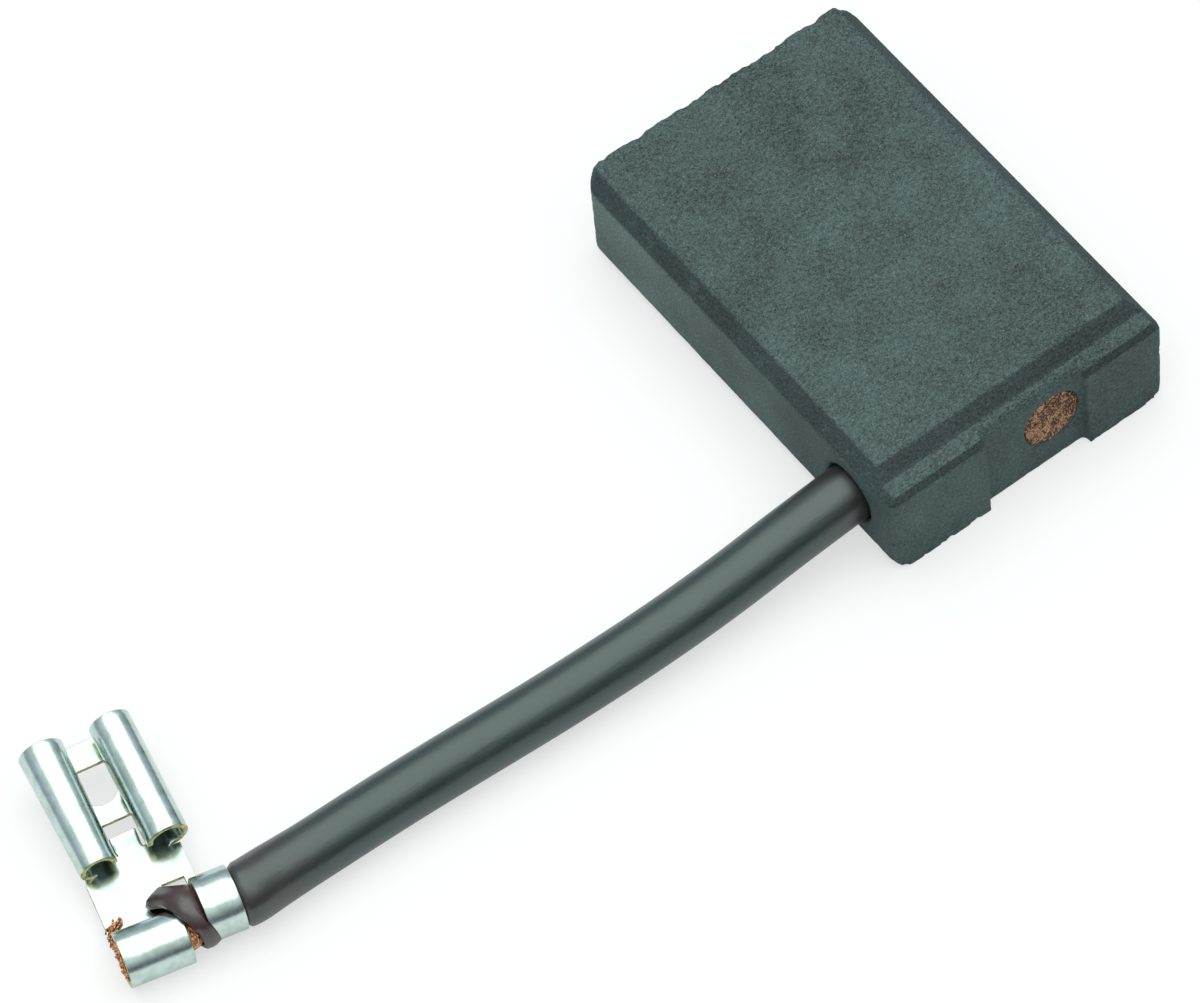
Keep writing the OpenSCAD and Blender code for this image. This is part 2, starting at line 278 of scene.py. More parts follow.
@dataclass(frozen=True)
class CarbonFinish:
    """Pressed and baked carbon: a fine grain with dark pores, painted shade on the chamfers, the slope at the
    end and the lip, and painted light that makes the side faces paler towards the far end.
    """

    top: Colour = srgb(88, 108, 107)
    # Painted light: the colour that the side faces are lit to.
    pale: Colour = srgb(118, 139, 135)
    shade: Colour = srgb(56, 70, 74)
    pore: Colour = srgb(38, 50, 50)
    half_w: float = 11.0
    height: float = 8.0
    chamfer: Edge = (1.2, 0.98)
    skin: Edge = (-0.05, 0.12)
    slope_from: Edge = (13.25, 13.5)
    slope_to: Edge = (14.62, 14.5)
    slope_z: Edge = (7.2, 7.3)
    lip_x: Edge = (15.7, 15.78)
    lip_z: Edge = (6.9, 7.02)
    side_skin: Edge = (0.25, 0.05)
    lit_side_x: Edge = (9.0, -15.0)

    def material(self) -> bpy.types.Material:
        """Makes the material."""
        material, g = new_graph("pressed_carbon")
        here = g.millimetres()
        x, y, z = g.parts(here)
        flat = g.scaled(here, (1.25, 0.8, 2.6))
        grain = g.noise(flat, 0.22, 3.0, 0.75)
        fine = g.noise(flat, 0.1, 1.0, 0.6)
        cloud = g.noise(here, 4.0, 3.0, 0.55)
        wide = g.noise(here, 11.0, 2.0, 0.5)
        pores = g.noise(here, 0.2, 3.0, 0.7).rise(0.62, 0.7)
        flecks = g.noise(g.shifted(here, (31.0, 17.0, 5.0)), 0.16, 2.0, 0.6).rise(0.6, 0.7)
        level = 0.5 + (grain - 0.5) * 1.5 + (fine - 0.5) * 1.2
        level = level + (cloud - 0.5) * 0.5 + (wide - 0.5) * 0.4 + flecks * 0.45
        to_side = self.half_w - abs(y)
        to_top = self.height - z
        # Painted shade: the chamfers along the top's long edges, the slope near the end and the lip are
        # blended towards the shade colour.
        chamfer = (to_side + to_top).rise(*self.chamfer) * to_top.rise(*self.skin) * to_side.rise(*self.skin)
        slope = x.rise(*self.slope_from) * x.rise(*self.slope_to) * z.rise(*self.slope_z)
        lip = x.rise(*self.lip_x) * z.rise(*self.lip_z)
        # Painted light: the side faces turn pale, the more so towards the far end.
        side = to_side.rise(*self.side_skin) * (1 - chamfer)
        far = x.rise(*self.lit_side_x)
        base = g.blend(self.top, self.pale, side * far)
        base = g.blend(base, self.shade, (chamfer + slope + lip).least(1.0) * 0.85)
        base = g.blend(g.tinted(base, level), self.pore, pores * 0.75)
        height = grain * 0.6 + fine * 0.4 - pores * 0.8
        g.surface(
            {"Roughness": 0.72, "Specular IOR Level": 0.35},
            {"Base Color": base, "Normal": g.bump(height, 0.05)},
        )
        return material


@dataclass(frozen=True)
class CopperFinish:
    """Copper, as packed powder or as bare wire."""

    name: str
    bright: Colour
    dull: Colour
    grain: float

    def material(self) -> bpy.types.Material:
        """Makes the material."""
        material, g = new_graph(self.name)
        here = g.millimetres()
        grains = g.cells(here, self.grain)
        blotch = g.noise(here, self.grain * 3, 3.0, 0.6)
        colour = g.blend(self.dull, self.bright, (blotch + (0.5 - grains) * 0.8).rise(0.35, 0.75))
        g.surface(
            {"Metallic": 0.85},
            {
                "Base Color": colour,
                "Roughness": 0.3 + blotch * 0.35,
                "Normal": g.bump(1 - grains, self.grain * 0.6),
            },
        )
        return material


@dataclass(frozen=True)
class SleeveFinish:
    """Near-black sleeve with a satin skin, tinted maroon where heat and handling reached its ends."""

    black: Colour = srgb(22, 33, 32)
    maroon: Colour = srgb(56, 22, 26)
    block_end_y: float = -11.0
    crimp_end_y: float = -60.0

    def material(self) -> bpy.types.Material:
        """Makes the material."""
        material, g = new_graph("satin_sleeve")
        here = g.millimetres()
        y = g.parts(here)[1]
        streak = g.noise(g.scaled(here, (1.0, 0.25, 1.0)), 0.8, 3.0, 0.6)
        dust = g.noise(here, 0.25, 2.0, 0.6).rise(0.62, 0.78)
        block, crimp = self.block_end_y, self.crimp_end_y
        ends = y.rise(block - 6.0, block - 1.0) * 0.3
        ends = ends + y.rise(crimp + 10.0, crimp + 2.5) * 0.45 + y.rise(crimp, crimp - 0.6) * 0.7
        colour = g.blend(self.black, self.maroon, (ends * (0.5 + streak)).least(1.0))
        g.surface(
            {"Specular IOR Level": 1.0, "IOR": 1.5, "Specular Tint": (0.84, 1.0, 0.97, 1.0)},
            {
                "Base Color": g.tinted(colour, 0.85 + streak * 0.3 + dust * 0.25),
                "Roughness": 0.26 + streak * 0.14 + dust * 0.12,
                "Normal": g.bump(streak + dust * 0.2, 0.03),
            },
        )
        return material


@dataclass(frozen=True)
class TinFinish:
    """Tin plate on brass, dull in patches and finely scratched."""

    tin: Colour = srgb(198, 212, 210)
    dull: Colour = srgb(178, 194, 184)

    def material(self) -> bpy.types.Material:
        """Makes the material."""
        material, g = new_graph("tin_plate")
        here = g.millimetres()
        patch = g.noise(here, 0.9, 3.0, 0.6)
        scratch = g.noise(g.scaled(here, (0.5, 4.0, 4.0)), 0.5, 2.0, 0.6)
        speck = g.noise(here, 0.12, 1.0, 0.5)
        g.surface(
            {"Metallic": 1.0},
            {
                "Base Color": g.blend(self.dull, self.tin, patch.rise(0.3, 0.65)),
                "Roughness": 0.12 + patch * 0.12 + speck * 0.08,
                "Normal": g.bump(scratch * 0.25 + patch * 0.5 + speck * 0.2, 0.012),
            },
        )
        return material


@dataclass(frozen=True)
class SheetEdgeFinish:
    """Yellow brass where the sheet was sheared after plating."""

    brass: Colour = srgb(206, 196, 132)
    dark: Colour = srgb(96, 92, 58)

    def material(self) -> bpy.types.Material:
        """Makes the material."""
        material, g = new_graph("sheared_brass")
        here = g.millimetres()
        patch = g.noise(here, 0.5, 3.0, 0.6)
        g.surface(
            {"Metallic": 0.9},
            {
                "Base Color": g.blend(self.dark, self.brass, patch.rise(0.3, 0.6)),
                "Roughness": 0.3 + patch * 0.2,
                "Normal": g.bump(patch, 0.04),
            },
        )
        return material


# ---------------------------------------------------------------- modelling helpers


class Kind(Enum):
    """What is selected in edit mode."""

    VERT = "VERT"
    EDGE = "EDGE"
    FACE = "FACE"


def only(piece: bpy.types.Object) -> None:
    """Selects one object and nothing else, and makes it active."""
    if bpy.context.object and bpy.context.object.mode != "OBJECT":
        bpy.ops.object.mode_set(mode="OBJECT")
    bpy.ops.object.select_all(action="DESELECT")
    piece.select_set(True)
    bpy.context.view_layer.objects.active = piece


@contextmanager
def editing(piece: bpy.types.Object) -> Iterator[None]:
    """Edit mode on one object, with everything selected at its start."""
    only(piece)
    bpy.ops.object.mode_set(mode="EDIT")
    bpy.ops.mesh.select_all(action="SELECT")
    yield
    bpy.ops.object.mode_set(mode="OBJECT")


def pick(kind: Kind, test: Callable[[Vector], bool]) -> None:
    """Selects, in edit mode, what the test accepts.

    Args:
        kind: Vertices, edges or faces.
        test: Says whether a middle, in millimetres, is wanted. For an edge, it is asked of both ends.
    """
    bpy.ops.mesh.select_mode(type=kind.value)
    bpy.ops.mesh.select_all(action="DESELECT")
    mesh = bpy.context.object.data
    cage = bmesh.from_edit_mesh(mesh)
    if kind is Kind.VERT:
        for vert in cage.verts:
            vert.select = test(vert.co / MM)
    elif kind is Kind.EDGE:
        for edge in cage.edges:
            edge.select_set(all(test(vert.co / MM) for vert in edge.verts))
    else:
        for face in cage.faces:
            face.select_set(test(face.calc_center_median() / MM))
    bmesh.update_edit_mesh(mesh)


def near(value: float, target: float) -> bool:
    """Whether two lengths in millimetres agree."""
    return abs(value - target) < 1e-3


def cut(at: Point, normal: Point) -> None:
    """Bisects the whole mesh at a plane, in edit mode, with the place in millimetres."""
    bpy.ops.mesh.select_all(action="SELECT")
    bpy.ops.mesh.bisect(plane_co=Vector(at) * MM, plane_no=normal)


def apply(piece: bpy.types.Object, kind: str, **settings: object) -> None:
    """Adds a modifier, sets it and applies it."""
    only(piece)
    modifier = piece.modifiers.new(kind.lower(), kind)
    for name, value in settings.items():
        setattr(modifier, name, value)
    bpy.ops.object.modifier_apply(modifier=modifier.name)


def reshape(piece: bpy.types.Object, move: Callable[[Vector], Vector]) -> None:
    """Moves each vertex by a rule that takes and gives a point in millimetres."""
    for vert in piece.data.vertices:
        vert.co = move(vert.co / MM) * MM
    piece.data.update()


def wobble(p: Vector, size: float) -> float:
    """Noise from -1 to 1 at a point in millimetres, with blotches of the given size."""
    return noise.noise(p / size)


def ease(value: float, low: float, high: float) -> float:
    """A smooth step from 0 at low to 1 at high."""
    share = min(1.0, max(0.0, (value - low) / (high - low)))
    return share * share * (3 - 2 * share)


def dress(piece: bpy.types.Object, *materials: bpy.types.Material) -> None:
    """Puts materials in an object's slots, in order."""
    piece.data.materials.clear()
    for material in materials:
        piece.data.materials.append(material)


def smooth(piece: bpy.types.Object, angle: float = 40.0) -> None:
    """Shades smooth across edges flatter than an angle in degrees."""
    only(piece)
    bpy.ops.object.shade_smooth_by_angle(angle=math.radians(angle))


def merged_copy(node: str, name: str) -> bpy.types.Object:
    """A copy of a CAD node's mesh with its loose triangles joined."""
    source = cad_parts[node]
    piece = bpy.data.objects.new(name, source.data.copy())
    bpy.context.scene.collection.objects.link(piece)
    with editing(piece):
        bpy.ops.mesh.remove_doubles(threshold=0.002 * MM)
    return piece


def tube_mesh(name: str, rings: Sequence[Sequence[Point]], closed_ends: bool = True) -> bpy.types.Object:
    """Skins rings of points, given in millimetres, into a tube.

    Args:
        name: The object's name.
        rings: Rings with equally many points each.
        closed_ends: Whether the first and last rings are filled.

    Returns:
        The new object, with its faces outwards.
    """
    sides = len(rings[0])
    points = [Vector(point) * MM for ring in rings for point in ring]
    faces: list[list[int]] = []
    for row in range(len(rings) - 1):
        for k in range(sides):
            a = row * sides + k
            b = row * sides + (k + 1) % sides
            faces.append([a, b, b + sides, a + sides])
    if closed_ends:
        faces.append(list(range(sides))[::-1])
        faces.append([len(points) - sides + k for k in range(sides)])
    mesh = bpy.data.meshes.new(name)
    mesh.from_pydata(points, [], faces)
    piece = bpy.data.objects.new(name, mesh)
    bpy.context.scene.collection.objects.link(piece)
    with editing(piece):
        bpy.ops.mesh.normals_make_consistent(inside=False)
    return piece


def mount(piece: bpy.types.Object, *nodes: str, slot: str) -> bpy.types.Object:
    """Rides a finished piece on the root, in place of CAD nodes."""
    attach(piece, ROOT)
    if nodes:
        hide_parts(*nodes)
    log.info("%s: %d faces", piece.name, len(piece.data.polygons))
    return piece


# ---------------------------------------------------------------- the studio


@dataclass
class Studio:
    """Camera, pale floor and a soft studio.

    Attributes:
        target: What the camera aims at, in millimetres.
        distance: How far it stands, in millimetres.
        elevation: Its height above the horizon, in degrees.
        azimuth: Its turn round the object, in degrees, 0 looking along +Y.
        roll: Its turn about its own axis, in degrees.
        lens: Focal length, in millimetres, on a sensor 36 mm wide.
        floor_size: Side of the floor, in metres.
        seen_white: Share of plain white in the floor that the camera sees.
        glossy_white: Share of plain white in the floor that reflections show.
        wall: The room's light at eye level.
        dim_wall: The same on its dim side.
        dim_side: Where the dim side is.
        ceiling: The room's light from above.
        box_at: Place of the soft box, in metres.
        box_size: Its side, in metres.
        box_power: Its power, in watts.
    """

    target: Point = (2.26, -23.78, 4.0)
    distance: float = 496.2
    elevation: float = 57.4
    azimuth: float = 58.45
    roll: float = -6.5
    lens: float = 234.0
    floor_size: float = 6.0
    seen_white: float = 0.6
    glossy_white: float = 0.25
    wall: Colour = (0.40, 0.46, 0.54, 1.0)
    dim_wall: Colour = (0.12, 0.14, 0.16, 1.0)
    dim_side: Point = (0.95, -0.1, 0.0)
    ceiling: Colour = (0.86, 0.96, 0.93, 1.0)
    box_at: Point = (-0.1, 0.05, 1.0)
    box_size: float = 1.5
    box_power: float = 9.2

    def add_camera(self) -> None:
        """Makes the camera and gives it to the scene."""
        data = bpy.data.cameras.new("camera")
        data.lens = self.lens
        data.sensor_width = 36.0
        data.clip_start = 0.01
        data.clip_end = 20.0
        camera = bpy.data.objects.new("camera", data)
        around, up = math.radians(self.azimuth), math.radians(self.elevation)
        back = Vector((math.sin(around) * math.cos(up), -math.cos(around) * math.cos(up), math.sin(up)))
        level = (-back).to_track_quat("-Z", "Y").to_matrix().to_4x4()
        camera.matrix_world = (
            Matrix.Translation((Vector(self.target) + back * self.distance) * MM)
            @ level
            @ Matrix.Rotation(math.radians(self.roll), 4, "Z")
        )
        bpy.context.scene.collection.objects.link(camera)
        bpy.context.scene.camera = camera

    def add_floor(self) -> None:
        """Makes the pale floor, which stays white to the camera but keeps the object's shadow."""
        bpy.ops.object.select_all(action="DESELECT")
        bpy.ops.mesh.primitive_plane_add(size=self.floor_size)
        floor = bpy.context.object
        floor.name = "floor"
        material, g = new_graph("pale_floor")
        path = g.node("ShaderNodeLightPath")
        to_camera, to_gloss = g.out(path, "Is Camera Ray"), g.out(path, "Is Glossy Ray")
        seen = to_camera * self.seen_white + to_gloss * self.glossy_white
        matt = g.node("ShaderNodeBsdfDiffuse", None, {"Color": srgb(236, 238, 237)})
        glow = g.node("ShaderNodeEmission", None, {"Color": (1, 1, 1, 1), "Strength": 1.0})
        mix = g.node("ShaderNodeMixShader", None, {0: seen, 1: g.out(matt), 2: g.out(glow)})
        g.node("ShaderNodeOutputMaterial", None, {"Surface": g.out(mix)})
        dress(floor, material)

    def add_light(self) -> None:
        """Lights the object from a wide soft box overhead and a pale room that is dim at eye level."""
        world = bpy.data.worlds.new("studio")
        bpy.context.scene.world = world
        world.use_nodes = True
        g = Graph(world.node_tree)
        way = g.out(g.node("ShaderNodeTexCoord"), "Generated")
        dim = g.dot(way, self.dim_side).rise(-0.3, 0.7)
        wall = g.blend(self.wall, self.dim_wall, dim)
        room = g.blend(wall, self.ceiling, g.parts(way)[2].rise(0.2, 0.8))
        g.node("ShaderNodeOutputWorld", None, {
            "Surface": g.out(g.node("ShaderNodeBackground", None, {"Color": room, "Strength": 1.0}))
        })
        self._soft_box("overhead")

    def _soft_box(self, name: str) -> None:
        """A square area lamp, in metres, aimed at the object."""
        data = bpy.data.lights.new(name, "AREA")
        data.size = self.box_size
        data.energy = self.box_power
        lamp = bpy.data.objects.new(name, data)
        place = Vector(self.box_at)
        lamp.matrix_world = Matrix.Translation(place) @ (
            (Vector(self.target) * MM - place).to_track_quat("-Z", "Y").to_matrix().to_4x4()
        )
        bpy.context.scene.collection.objects.link(lamp)


# ---------------------------------------------------------------- the flag terminal


@dataclass
class FlagTerminal:
    """One folded sheet: rolled receptacle, plate with a stop, strand crimp and sleeve crimp.

    It is modelled in its own frame, whose origin is on the floor under the strand crimp's axis, with +X
    from the receptacle's mouth to the crimp and +Y along the crimp towards the lead. Sizes are in
    millimetres.
    """

    sheet: float = 0.4
    roll_y: float = 2.37
    roll_r: float = 1.4
    roll_l: float = 8.9
    roll_sweep: float = 280.0
    rear_width: float = 0.9
    mouth_width: float = 1.1
    yaw: float = 2.5
    plate_l: float = 6.5
    plate_lift: float = 0.45
    far_y: float = -3.47
    lead_y: float = 3.07
    plate_end_x: float = -4.2
    window_w: float = 2.2
    tongue_w: float = 1.7
    tongue_l: float = 1.25
    tongue_rise: float = 25.0
    arch_at: float = 4.3
    arch_window_l: float = 2.8
    arch_r: float = 1.4
    arch_cuts: Point = (0.55, 0.28, 0.0)
    grid: float = 0.5
    roll_steps: int = 36
    wrap_steps: int = 32
    stop_at: float = 0.7
    stop_window_l: float = 2.3
    core_r: float = 1.85
    core_l: float = 4.35
    core_end: float = 150.0
    neck_angle: float = 8.0
    grip_x: float = -1.0
    grip_y: float = 2.28
    grip_l: float = 2.4
    grip_r: float = 2.15
    grip_start: float = -40.0
    grip_end: float = 232.0
    turn: float = 13.6
    tilt: float = 6.0
    at: Point = (10.0, -63.0, 0.0)

    @property
    def mid_z(self) -> float:
        """Height of the plate's middle layer."""
        return self.plate_lift + self.sheet / 2

    @property
    def core_end_y(self) -> float:
        """Where the strand's crimp ends, towards the lead."""
        return self.far_y + self.core_l

    def matrix(self) -> Matrix:
        """Places the terminal's own frame in the brush's, in metres."""
        lift = Matrix.Translation((0, 0, self.core_r * MM))
        return (
            Matrix.Translation(Vector(self.at) * MM)
            @ Matrix.Rotation(math.radians(-self.turn), 4, "Z")
            @ lift
            @ Matrix.Rotation(math.radians(self.tilt), 4, "Y")
            @ lift.inverted()
        )

    def place(self, point: Sequence[float]) -> Vector:
        """A point of the terminal's own frame in the brush's, both in millimetres."""
        return self.matrix() @ (Vector(point) * MM) / MM

    def build(self, plated: bpy.types.Material, sheared: bpy.types.Material) -> bpy.types.Object:
        """Folds the blank and gives the sheet its thickness.

        Args:
            plated: The sheet's faces.
            sheared: Its cut edges.

        Returns:
            The terminal, in the brush's frame.
        """
        sheet = self._blank()
        self._arch_window(sheet)
        self._lance_stop(sheet)
        self._roll_sides(sheet)
        self._wrap_strand_crimp(sheet)
        self._reach_to_sleeve_crimp(sheet)
        ring = self._sleeve_crimp()
        only(sheet)
        ring.select_set(True)
        bpy.ops.object.join()
        dress(sheet, plated, sheared)
        apply(
            sheet,
            "SOLIDIFY",
            thickness=self.sheet * MM,
            offset=0.0,
            use_even_offset=True,
            material_offset_rim=1,
        )
        apply(sheet, "BEVEL", width=0.06 * MM, segments=2, limit_method="ANGLE", angle_limit=math.radians(50))
        with editing(sheet):
            bpy.ops.mesh.normals_make_consistent(inside=False)
        sheet.data.transform(self.matrix())
        smooth(sheet)
        return sheet

    def _blank(self) -> bpy.types.Object:
        """The flat sheet of the receptacle's floor and the plate, with its windows."""
        x0, x1 = -self.plate_l - self.roll_l, self.plate_end_x
        y0, y1 = self.far_y, self.lead_y
        bpy.ops.object.select_all(action="DESELECT")
        bpy.ops.mesh.primitive_plane_add(
            size=1.0, location=Vector(((x0 + x1) / 2, (y0 + y1) / 2, self.mid_z)) * MM
        )
        sheet = bpy.context.object
        sheet.name = "terminal_sheet"
        sheet.scale = ((x1 - x0) * MM, (y1 - y0) * MM, 1)
        bpy.ops.object.transform_apply(location=True, rotation=True, scale=True)
        rear = -self.plate_l
        windows = [
            (rear - at - length, rear - at)
            for at, length in ((self.arch_at, self.arch_window_l), (self.stop_at, self.stop_window_l))
        ]
        first, last = -int(self.roll_l / self.grid), int((x1 - rear) / self.grid)
        steps = [rear + self.grid * k for k in range(first, last + 1)]
        # No cut where the window's end is drawn back to its arc.
        arch = (rear - self.arch_at - self.arch_r / 2, rear - self.arch_at)
        steps = [x for x in steps if not arch[0] - 1e-3 < x < arch[1]]
        half = self.window_w / 2
        with editing(sheet):
            for x in [rear, *(edge for window in windows for edge in window), *steps]:
                cut((x, 0, 0), (1, 0, 0))
            for y in [self.roll_y, half, self.tongue_w / 2, *self.arch_cuts]:
                cut((0, y, 0), (0, 1, 0))
                cut((0, -y, 0), (0, 1, 0))
            cut((0, self.grip_y, 0), (0, 1, 0))
            cut((0, self.core_end_y, 0), (0, 1, 0))
            pick(Kind.FACE, lambda p: (
                (p.x < rear and abs(p.y) > self.roll_y)
                or any(a < p.x < b and abs(p.y) < half for a, b in windows)
            ))
            bpy.ops.mesh.delete(type="FACE")
        return sheet

    def _arch_window(self, sheet: bpy.types.Object) -> None:
        """Rounds the end of the mouth's window."""
        end_x = -self.plate_l - self.arch_at

        def arch(p: Vector) -> Vector:
            """Draws the window's end back to its arc."""
            if near(p.x, end_x) and abs(p.y) < self.window_w / 2 + 1e-3:
                p.x -= self.arch_r - math.sqrt(self.arch_r ** 2 - p.y ** 2)
            return p

        reshape(sheet, arch)

    def _lance_stop(self, sheet: bpy.types.Object) -> None:
        """Raises the tongue that stops the tab."""
        edge_x = -self.plate_l - self.stop_at
        rise = math.radians(self.tongue_rise)
        with editing(sheet):
            pick(Kind.EDGE, lambda p: near(p.x, edge_x) and abs(p.y) < self.tongue_w / 2 + 1e-3)
            for _ in range(3):
                bpy.ops.mesh.extrude_region_move(TRANSFORM_OT_translate={
                    "value": Vector((-math.cos(rise), 0, math.sin(rise))) * (self.tongue_l / 3 * MM)
                })

    def _roll_sides(self, sheet: bpy.types.Object) -> None:
        """Rolls both long sides of the receptacle over and turns it a little on its plate."""
        axis_z = self.plate_lift + self.roll_r
        rear = -self.plate_l
        with editing(sheet):
            for side in (1, -1):
                pick(Kind.EDGE, lambda p: (
                    p.x < rear + 1e-3 and near(p.y, side * self.roll_y) and near(p.z, self.mid_z)
                ))
                bpy.ops.mesh.spin(
                    steps=self.roll_steps,
                    angle=math.radians(self.roll_sweep),
                    center=Vector((0, side * self.roll_y, axis_z)) * MM,
                    axis=(-side, 0, 0),
                )
        reshape(sheet, self._taper)
        with editing(sheet):
            pick(Kind.VERT, lambda p: p.x < rear - 1e-3 or (near(p.x, rear) and abs(p.z - self.mid_z) > 1e-3))
            bpy.ops.transform.rotate(
                value=-math.radians(self.yaw), orient_axis="Z", center_override=Vector((rear, 0, 0)) * MM
            )

    def _taper(self, p: Vector) -> Vector:
        """Widens the roll on the strand tip's side towards its mouth, from where it leaves the floor."""
        into = (-self.plate_l - p.x) / self.roll_l
        outside = p.y < -self.roll_y - 1e-3
        above = p.y < 0 and p.z > self.mid_z + 1e-3
        if into > -1e-3 and (outside or above):
            grow = self.rear_width + (self.mouth_width - self.rear_width) * into
            p.y = -self.roll_y + (p.y + self.roll_y) * grow
            p.z = self.mid_z + (p.z - self.mid_z) * grow
        return p

    def _wrap_strand_crimp(self, sheet: bpy.types.Object) -> None:
        """Bends the plate down and wraps it round the strand."""
        mid_r = self.core_r - self.sheet / 2
        enter = math.radians(self.neck_angle)
        foot = Vector((-mid_r * math.sin(enter), 0, self.core_r - mid_r * math.cos(enter)))
        bend_x = foot.x - (self.mid_z - foot.z) / math.tan(enter)
        with editing(sheet):
            pick(Kind.EDGE, lambda p: near(p.x, self.plate_end_x) and p.y < self.core_end_y + 1e-3)
            bpy.ops.mesh.extrude_region_move(
                TRANSFORM_OT_translate={"value": Vector((bend_x - self.plate_end_x, 0, 0)) * MM}
            )
            for _ in range(4):
                bpy.ops.mesh.extrude_region_move(TRANSFORM_OT_translate={
                    "value": Vector((foot.x - bend_x, 0, foot.z - self.mid_z)) * (MM / 4)
                })
            bpy.ops.mesh.spin(
                steps=self.wrap_steps,
                angle=math.radians(self.core_end + 90 + self.neck_angle),
                center=Vector((0, 0, self.core_r)) * MM,
                axis=(0, 1, 0),
            )

    def _reach_to_sleeve_crimp(self, sheet: bpy.types.Object) -> None:
        """Draws the plate's arm out to the sleeve's crimp."""
        arm_x = self.grip_x + (self.grip_r - self.sheet / 2) * math.cos(math.radians(self.grip_end))
        with editing(sheet):
            pick(Kind.EDGE, lambda p: (
                near(p.x, self.plate_end_x) and p.y > self.grip_y - 1e-3 and near(p.z, self.mid_z)
            ))
            for _ in range(3):
                bpy.ops.mesh.extrude_region_move(
                    TRANSFORM_OT_translate={"value": Vector(((arm_x - self.plate_end_x) / 3 * MM, 0, 0))}
                )

    def _sleeve_crimp(self) -> bpy.types.Object:
        """The open ring round the sleeve."""
        sides = 48
        bpy.ops.object.select_all(action="DESELECT")
        bpy.ops.mesh.primitive_cylinder_add(
            vertices=sides,
            radius=(self.grip_r - self.sheet / 2) * MM,
            depth=self.grip_l * MM,
            end_fill_type="NOTHING",
            location=Vector((self.grip_x, self.grip_y + self.grip_l / 2, self.grip_r)) * MM,
            rotation=(math.pi / 2, 0, 0),
        )
        ring = bpy.context.object
        bpy.ops.object.transform_apply(location=True, rotation=True, scale=True)

        def open_side(p: Vector) -> bool:
            """Whether a face's middle lies in the ring's opening."""
            angle = math.degrees(math.atan2(p.z - self.grip_r, p.x - self.grip_x)) % 360
            return self.grip_end < angle < 360 + self.grip_start

        with editing(ring):
            for k in range(1, 4):
                cut((0, self.grip_y + self.grip_l * k / 4, 0), (0, 1, 0))
            pick(Kind.FACE, open_side)
            bpy.ops.mesh.delete(type="FACE")
        return ring


# ---------------------------------------------------------------- the lead


